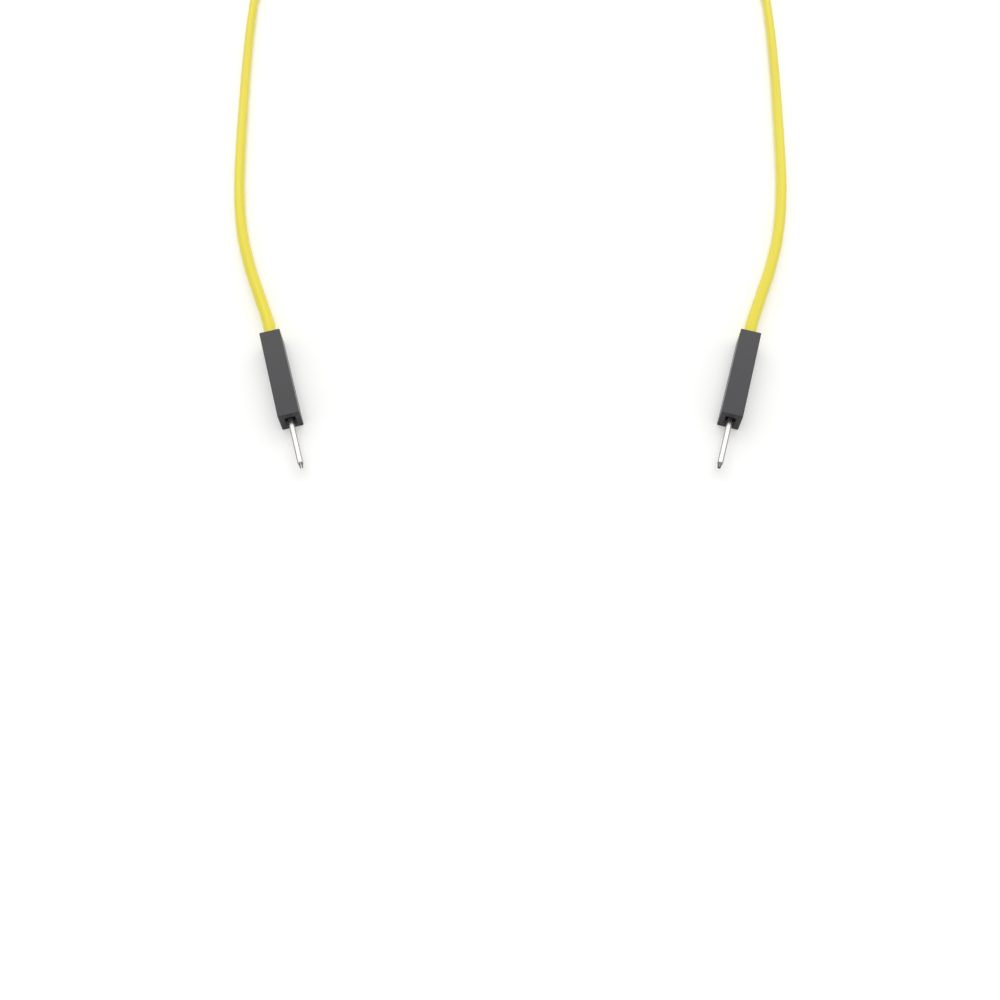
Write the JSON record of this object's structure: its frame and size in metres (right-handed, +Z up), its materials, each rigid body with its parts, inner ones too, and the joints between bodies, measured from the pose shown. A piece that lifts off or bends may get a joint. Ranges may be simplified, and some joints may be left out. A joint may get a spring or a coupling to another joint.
{
  "type": "breadboard jumper wire",
  "caption": "Flexible insulated wire with a square pin contact in a slim moulded housing at each end, lying in one wide bend.",
  "frame": {"origin": "on the surface that the wire lies on, below the middle of the box round the two plugs", "axes": "+X from the left plug to the right plug, +Y from the pin tips back towards the bend, +Z up"},
  "size_m": [0.0952, 0.1272, 0.0025],
  "materials": {
    "housing": "black moulded plastic, satin",
    "contact": "bright tin plating on stamped copper alloy",
    "insulation": "soft yellow PVC, satin",
    "conductor": "bare copper strands"
  },
  "bodies": {
    "root": {"left_housing": "housing", "right_housing": "housing", "left_contact": "contact", "right_contact": "contact", "wire_insulation": "insulation", "conductor": "conductor"}
  },
  "joints": []
}
